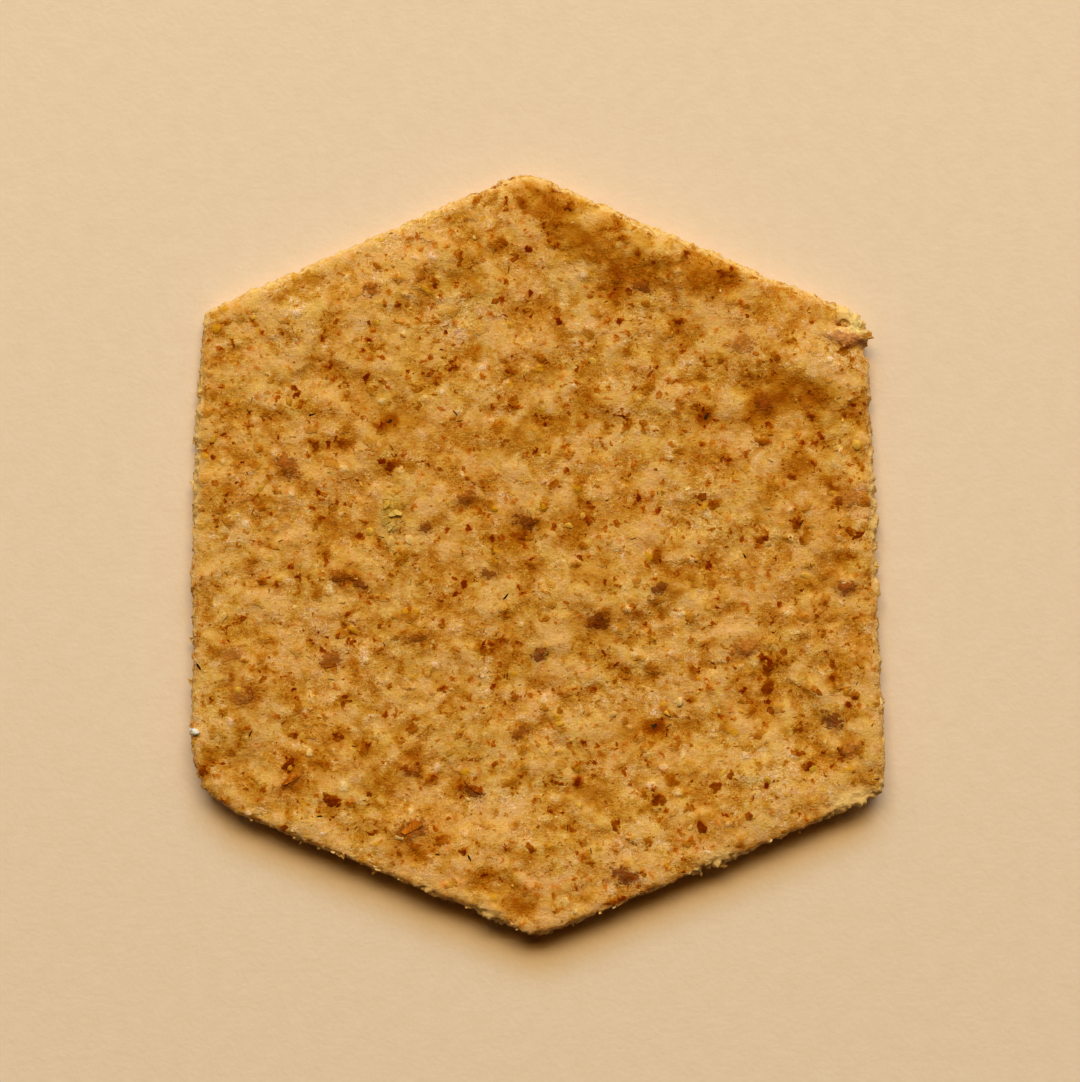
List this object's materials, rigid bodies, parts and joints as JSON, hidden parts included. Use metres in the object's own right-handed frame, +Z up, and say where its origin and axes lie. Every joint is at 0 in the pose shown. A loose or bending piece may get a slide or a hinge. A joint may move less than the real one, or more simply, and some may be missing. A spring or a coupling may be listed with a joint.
{
  "type": "sourdough cracker",
  "caption": "Thin hexagonal sourdough cracker with a gently lumpy bran-flecked top, ragged cut edges and a broken corner; lies flat on a plate.",
  "frame": {"origin": "on the table plane, under the middle of the outline's bounding box", "axes": "+Z up from the table through the baked top, +Y towards the top corner, +X towards the right upright side"},
  "size_m": [0.063, 0.069, 0.0034],
  "materials": {
    "baked_dough": "matte"
  },
  "bodies": {
    "root": {"cracker": "baked_dough"}
  },
  "joints": []
}
